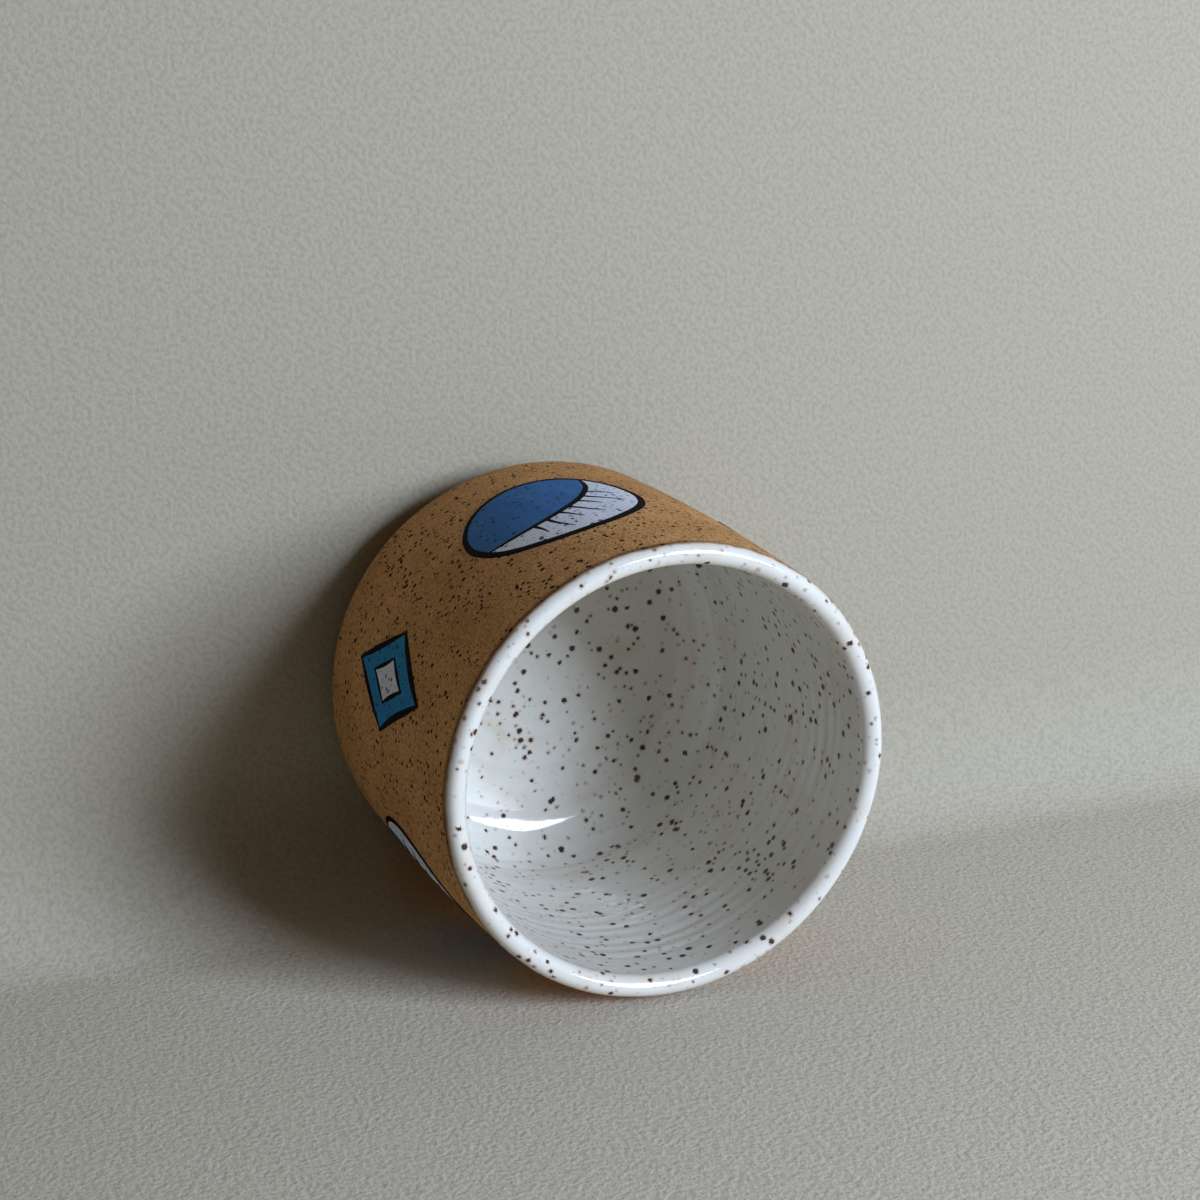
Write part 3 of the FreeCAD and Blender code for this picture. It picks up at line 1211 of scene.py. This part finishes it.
@dataclass(frozen=True)
class Roundel:
    """A disc parted by an arc into a blue field and a pale one above it, with a fan of strokes."""

    brush: Brush
    radius: float = 17.5
    outline: float = 1.3
    outline_swell: float = 0.45
    parting_radius: float = 20.5
    parting_rise: float = 4.0
    parting_width: float = 1.2
    stroke_count: int = 7
    stroke_length: float = 8.5
    stroke_width: float = 0.95
    stroke_fan: float = 8.5
    short_share: float = 0.65
    stroke_bow: float = 0.25
    stroke_taper: float = 0.6
    outline_cells: int = 220
    parting_cells: int = 80
    stroke_cells: int = 26

    def fan(self, drop: float) -> list[bpy.types.Object]:
        """Paint the strokes that stand on the parting.

        Args:
            drop: how far the parting's centre lies below the motif's.

        Returns:
            The strokes.
        """
        def width(share: float) -> float:
            """Return a stroke's width, tapering to its end."""
            return self.stroke_width * max(1 - share, 0.02) ** self.stroke_taper

        strokes = []
        for index in range(self.stroke_count):
            aim = heading(90 + (index - (self.stroke_count - 1) / 2) * self.stroke_fan)
            length = self.stroke_length * (1 if index % 2 else self.short_share)
            start = aim * self.parting_radius - Vector((0, drop))
            path = straight_path(start, start + aim * length, self.stroke_bow * (-1) ** index)
            strokes.append(self.brush.line(path, width, self.stroke_cells, 5.0 + index))
        return strokes

    def paint(self) -> Strokes:
        """Paint the roundel.

        Returns:
            Its strokes by colour.
        """
        inner = self.radius - self.outline * 0.55
        drop = self.parting_radius - self.parting_rise
        meet_up = (inner ** 2 - self.parting_radius ** 2 + drop ** 2) / (-2 * drop)
        meet = half_chord(inner, meet_up)
        spread = math.degrees(math.asin(min(meet / self.parting_radius, 1.0)))

        def parting(across: float) -> float:
            """Return the height of the arc between the two fields."""
            return half_chord(self.parting_radius, across) - drop

        def bottom(across: float) -> float:
            """Return the height of the disc's lower edge."""
            return -half_chord(inner, across)

        def top(across: float) -> float:
            """Return the height of the disc's upper edge."""
            return half_chord(inner, across)

        def parting_path(share: float) -> Vector:
            """Return the point of the parting's line at a share of its length."""
            arc_point = heading(90 - spread * (2 * share - 1)) * self.parting_radius
            return arc_point - Vector((0, drop))

        def outline_width(share: float) -> float:
            """Return the outline's width, thicker on one side as a brush leaves it."""
            return self.outline + self.outline_swell * math.sin(math.tau * share + 0.6)

        brush = self.brush
        blue = brush.field(-meet, meet, bottom, parting)
        pale = brush.field(-inner, inner, lambda across: max(parting(across), bottom(across)), top)
        outline = brush.line(ring_path(self.radius - self.outline / 2), outline_width,
                             self.outline_cells, 2.0, closed=True)
        arc = brush.line(parting_path, swelling(0.5, self.parting_width + 0.3),
                         self.parting_cells, 3.0)
        return {Colour.BLUE: [blue], Colour.PALE: [pale],
                Colour.BLACK: [outline, arc, *self.fan(drop)]}


@dataclass(frozen=True)
class Lozenge:
    """A teal diamond standing on its point, with a pale one nested in it."""

    brush: Brush
    width: float = 20.0
    height: float = 34.0
    outline: float = 1.2
    inner_width: float = 9.5
    inner_height: float = 16.5
    inner_outline: float = 0.9
    nested_lift: float = 0.03
    field_cells: tuple[int, int] = (40, 22)
    stroke_cells: int = 48
    stroke_bow: float = 0.2
    stroke_past: float = 0.35

    def diamond(self, brush: Brush, width: float, height: float) -> bpy.types.Object:
        """Paint one diamond-shaped field.

        Args:
            brush: the brush that lays it.
            width: the diamond's width.
            height: its height.

        Returns:
            The field.
        """
        def half(across: float) -> float:
            """Return the height of the diamond's upper edge."""
            return height / 2 * (1 - abs(across) / (width / 2))

        return brush.field(-width / 2, width / 2, lambda across: -half(across), half,
                           self.field_cells)

    def border(self, width: float, height: float, line: float,
               seed: float) -> list[bpy.types.Object]:
        """Paint the four strokes round a diamond.

        Args:
            width: the diamond's width.
            height: its height.
            line: the strokes' width.
            seed: another number gives another shake of the hand.

        Returns:
            The strokes.
        """
        corners = [Vector((0, -height / 2)), Vector((width / 2, 0)), Vector((0, height / 2)),
                   Vector((-width / 2, 0))]
        strokes = []
        for index, start in enumerate(corners):
            end = corners[(index + 1) % 4]
            past = (end - start).normalized() * line * self.stroke_past
            path = straight_path(start - past, end + past, self.stroke_bow)
            strokes.append(self.brush.line(path, swelling(0.35 * line, 1.25 * line),
                                           self.stroke_cells, seed + index))
        return strokes

    def paint(self) -> Strokes:
        """Paint the lozenge.

        Returns:
            Its strokes by colour.
        """
        inside = 1 - self.outline / self.width
        nested = 1 - self.inner_outline / self.inner_width
        outer = (self.width * inside, self.height * inside)
        inner = (self.inner_width * nested, self.inner_height * nested)
        teal = self.diamond(self.brush, *outer)
        pale = self.diamond(replace(self.brush, coat=self.brush.coat + self.nested_lift), *inner)
        lines = self.border(*outer, self.outline, 11.0)
        lines += self.border(*inner, self.inner_outline, 17.0)
        return {Colour.TEAL: [teal], Colour.PALE: [pale], Colour.BLACK: lines}


@dataclass(frozen=True)
class PaintedRing:
    """The ring of motifs round the wall: roundels and lozenges by turns."""

    wall: ThrownWall
    level: float = 42.0
    pairs: int = 3
    first_angle: float = 58.0
    roundel_tilt: float = 35.0

    def build(self) -> list[bpy.types.Object]:
        """Paint every motif and join the strokes of each colour into one piece.

        Returns:
            The four pieces.
        """
        strokes: Strokes = {colour: [] for colour in Colour}
        step = 360 / self.pairs
        for index in range(self.pairs):
            angle = self.first_angle + index * step
            leaning = Spot(self.wall, angle, self.level, self.roundel_tilt)
            upright = Spot(self.wall, angle + step / 2, self.level)
            for motif in (Roundel(Brush(leaning)), Lozenge(Brush(upright))):
                for colour, painted in motif.paint().items():
                    strokes[colour] += painted
        names = {Colour.BLUE: ("blue_fields", "blue_slip"), Colour.TEAL: ("teal_fields", "teal_slip"),
                 Colour.PALE: ("pale_fields", "pale_slip"),
                 Colour.BLACK: ("black_brush_lines", "black_linework")}
        pieces = []
        for colour, (name, node) in names.items():
            pick_nothing()
            for stroke in strokes[colour]:
                stroke.select_set(True)
            bpy.context.view_layer.objects.active = strokes[colour][0]
            bpy.ops.object.join()
            piece = bpy.context.active_object
            piece.name = piece.data.name = name
            finish_piece(piece, SLIPS[colour].material(), colour.value, node)
            pieces.append(piece)
        return pieces


@dataclass(frozen=True)
class PaperStage:
    """A pale paper floor under the cup, and a second sheet that rises close beside it.

    The second sheet touches the cup's side, so that seen from the photograph's side the cup
    lies on it. It is clear from behind, and it stops no lamp.
    """

    # Two tones of one paper: painted shade where it lies level, painted light where it rises.
    floor_shaded_colour: str = "#a39b88"
    sheet_lit_colour: str = "#c5bcaa"
    # Painted shade: this colour darkens the paper where its tooth's bump is low.
    hollow_shade_colour: str = "#5f594e"
    hollow_shade_share: float = 0.2
    tooth: float = 1.0
    tooth_depth: float = 0.4
    floor_reach: float = 6000.0
    sheet_reach: float = 1500.0
    facing: float = -45.0
    gap: float = 44.47
    cove: float = 12.5
    cove_growth: float = 0.0162
    widest_cove: float = 28.0
    fade: tuple[float, float] = (220.0, 520.0)
    roughness: float = 0.9
    specular: float = 0.2
    bend_share: float = 0.6
    cells: tuple[int, int] = (160, 40)
    lift: float = 0.01

    @cached_property
    def front(self) -> Vector:
        """The level direction that the second sheet faces."""
        return heading(self.facing).to_3d()

    def material(self, name: str, clear_behind: bool) -> bpy.types.Material:
        """Make the paper: matte, with painted shade in the hollows of its tooth, a darker shaded tone
        where it lies level and a lighter lit tone where it rises.

        Args:
            name: the material's name.
            clear_behind: whether the sheet is see-through from its back.

        Returns:
            The material.
        """
        material, board, place = new_material(name)
        # One noise gives the tooth's height and, where it is low, the painted shade in its hollows.
        tooth_height, tooth_hollow_shade = board.noise_mask(place, self.tooth, (0.58, 0.36))
        geometry = board.add("NewGeometry")
        level = board.add("SeparateXYZ", {0: geometry.outputs["Normal"]}).outputs[2]
        # Level paper takes the darker painted-shade tone, the rising sheet the lighter painted-light
        # tone.
        colour = board.layered(self.sheet_lit_colour, (self.floor_shaded_colour, level, 1.0),
                               (self.hollow_shade_colour, tooth_hollow_shade, self.hollow_shade_share))
        bump = board.add("Bump", {"Strength": 0.65, "Distance": self.tooth_depth * MM,
                                  "Height": tooth_height})
        shader = board.add("BsdfPrincipled", {"Base Color": colour, "Roughness": self.roughness,
                                              "Specular IOR Level": self.specular, "Normal": bump})
        reach = board.add("VectorMath", {"operation": "LENGTH", 0: place}).outputs["Value"]
        near, far = self.fade
        distant = board.add("MapRange", {"interpolation_type": "SMOOTHSTEP", "Value": reach,
                                         "From Min": near * MM, "From Max": far * MM})
        seen, plain = backdrop(board, "Emission")
        share = board.add("Math", {"operation": "MULTIPLY", 0: distant, 1: seen})
        surface = board.add("MixShader", {0: share, 1: shader, 2: plain})
        if clear_behind:
            clear = board.add("BsdfTransparent")
            surface = board.add("MixShader", {0: geometry.outputs["Backfacing"], 1: surface,
                                              2: clear})
        board.add("OutputMaterial", {"Surface": surface})
        return material

    def floor(self) -> bpy.types.Object:
        """Lay the floor that the cup stands on.

        Returns:
            The floor.
        """
        floor = laid_grid("paper_floor", (4, 4), lambda across, up: (
            Vector((2 * across - 1, 2 * up - 1, 0)) * self.floor_reach))
        floor.data.materials.append(self.material("pale_paper_floor", False))
        return floor

    def risen(self, across: float, share: float) -> Vector:
        """Find a point of the rising sheet, closer spaced towards the cup.

        Args:
            across: 0 at one end of the fold, and 1 at the other.
            share: 0 where the sheet leaves the floor, and 1 at its top.

        Returns:
            The point in mm.
        """
        along = self.sheet_reach * (2 * across - 1) ** 3
        cove = min(self.cove + self.cove_growth * along ** 2, self.widest_cove)
        back, level = self.gap, cove
        if share < self.bend_share:
            turn = share / self.bend_share * math.pi / 2
            back -= cove * (1 - math.sin(turn))
            level -= cove * math.cos(turn)
        else:
            level += (self.sheet_reach - cove) * (share - self.bend_share) / (1 - self.bend_share)
        side = Vector((-self.front.y, self.front.x, 0))
        return side * along - self.front * back + Vector((0, 0, level + self.lift))

    def sheet(self) -> bpy.types.Object:
        """Raise the sheet beside the cup, with its face towards the cup.

        Returns:
            The sheet.
        """
        sheet = laid_grid("paper_sheet", self.cells, self.risen)
        if sheet.data.polygons[-1].normal.dot(self.front) < 0:
            sheet.data.flip_normals()
        sheet.data.materials.append(self.material("pale_paper_sheet", True))
        sheet.visible_shadow = False
        return sheet

    def build(self) -> None:
        """Lay both papers."""
        self.floor()
        self.sheet()


@dataclass(frozen=True)
class SoftBox:
    """A large soft lamp aimed at the middle of the cup.

    Its level is the brightness that it gives a white surface that faces it.
    """

    name: str
    azimuth: float
    elevation: float
    distance: float
    width: float
    height: float
    level: float
    colour: str
    shift: float = 0.0

    def hang(self, target: Vector) -> bpy.types.Object:
        """Hang the lamp and aim it, then shift it sideways.

        Args:
            target: the point that it is aimed at, in metres.

        Returns:
            The lamp.
        """
        data = bpy.data.lights.new(self.name, "AREA")
        data.shape = "RECTANGLE"
        data.size = self.width
        data.size_y = self.height
        data.energy = self.level * (math.pi * self.distance) ** 2
        data.color = linear(self.colour)[:3]
        lamp = bpy.data.objects.new(self.name, data)
        bpy.context.scene.collection.objects.link(lamp)
        turn, rise = math.radians(self.azimuth), math.radians(self.elevation)
        away = Vector((math.cos(turn) * math.cos(rise), math.sin(turn) * math.cos(rise),
                       math.sin(rise)))
        side = Vector((-math.sin(turn), math.cos(turn), 0))
        lamp.location = target + away * self.distance + side * self.shift
        lamp.rotation_euler = away.to_track_quat("Z", "Y").to_euler()
        return lamp


@dataclass(frozen=True)
class Studio:
    """The lamps and the light of the room."""

    room_light: str = "#ffd9a8"
    room_level: float = 0.075

    def build(self, middle: Vector) -> None:
        """Hang the lamps and light the room.

        Args:
            middle: the point that the lamps are aimed at, in metres.
        """
        for pane, shift in (("left", -0.098), ("right", 0.098)):
            SoftBox(f"window_lamp_{pane}", -100, 55.5, 0.9, 0.184, 0.38, 0.84, "#d5e6ff",
                    shift).hang(middle)
        SoftBox("back_fill_lamp", 158, 12, 1.2, 0.8, 0.8, 0.2, "#fff0de").hang(middle)
        world = bpy.data.worlds.new("room")
        bpy.context.scene.world = world
        board = Board(world)
        seen, plain = backdrop(board, "Background")
        room = board.add("Background", {"Color": linear(self.room_light),
                                        "Strength": self.room_level})
        mix = board.add("MixShader", {0: seen, 1: room, 2: plain})
        board.add("OutputWorld", {"Surface": mix})


@dataclass(frozen=True)
class PhotoCamera:
    """The camera where the photograph was taken from, in the cup's own frame."""

    place: tuple[float, float, float] = (225.92, 11.89, 446.53)
    turn: tuple[float, float, float] = (-16.243, -22.594, -135.0)
    lens: float = 72.0
    sensor: float = 36.0

    def build(self) -> bpy.types.Object:
        """Set up the camera and make it the scene's.

        Returns:
            The camera.
        """
        data = bpy.data.cameras.new("photo_camera")
        data.lens = self.lens
        data.sensor_width = self.sensor
        data.clip_start = 0.01
        data.clip_end = 20.0
        camera = bpy.data.objects.new("photo_camera", data)
        bpy.context.scene.collection.objects.link(camera)
        camera.location = Vector(self.place) * MM
        camera.rotation_euler = Euler([math.radians(angle) for angle in self.turn], "XYZ")
        bpy.context.scene.camera = camera
        return camera


def main() -> None:
    """Build the camera, the stage, the lamps and every piece, and report each piece."""
    logging.basicConfig(level=logging.INFO, format="%(name)s: %(message)s")
    scene = bpy.context.scene
    scene.view_settings.view_transform = "Standard"
    lowest, highest = CAD_BOX
    PhotoCamera().build()
    PaperStage().build()
    Studio().build((lowest + highest) / 2)
    wall = ThrownWall(height=highest.z / MM)
    ClayBody(wall).build()
    LinerGlaze(wall).build()
    PaintedRing(wall).build()
    pick_nothing()


if __name__ == "__main__":
    main()
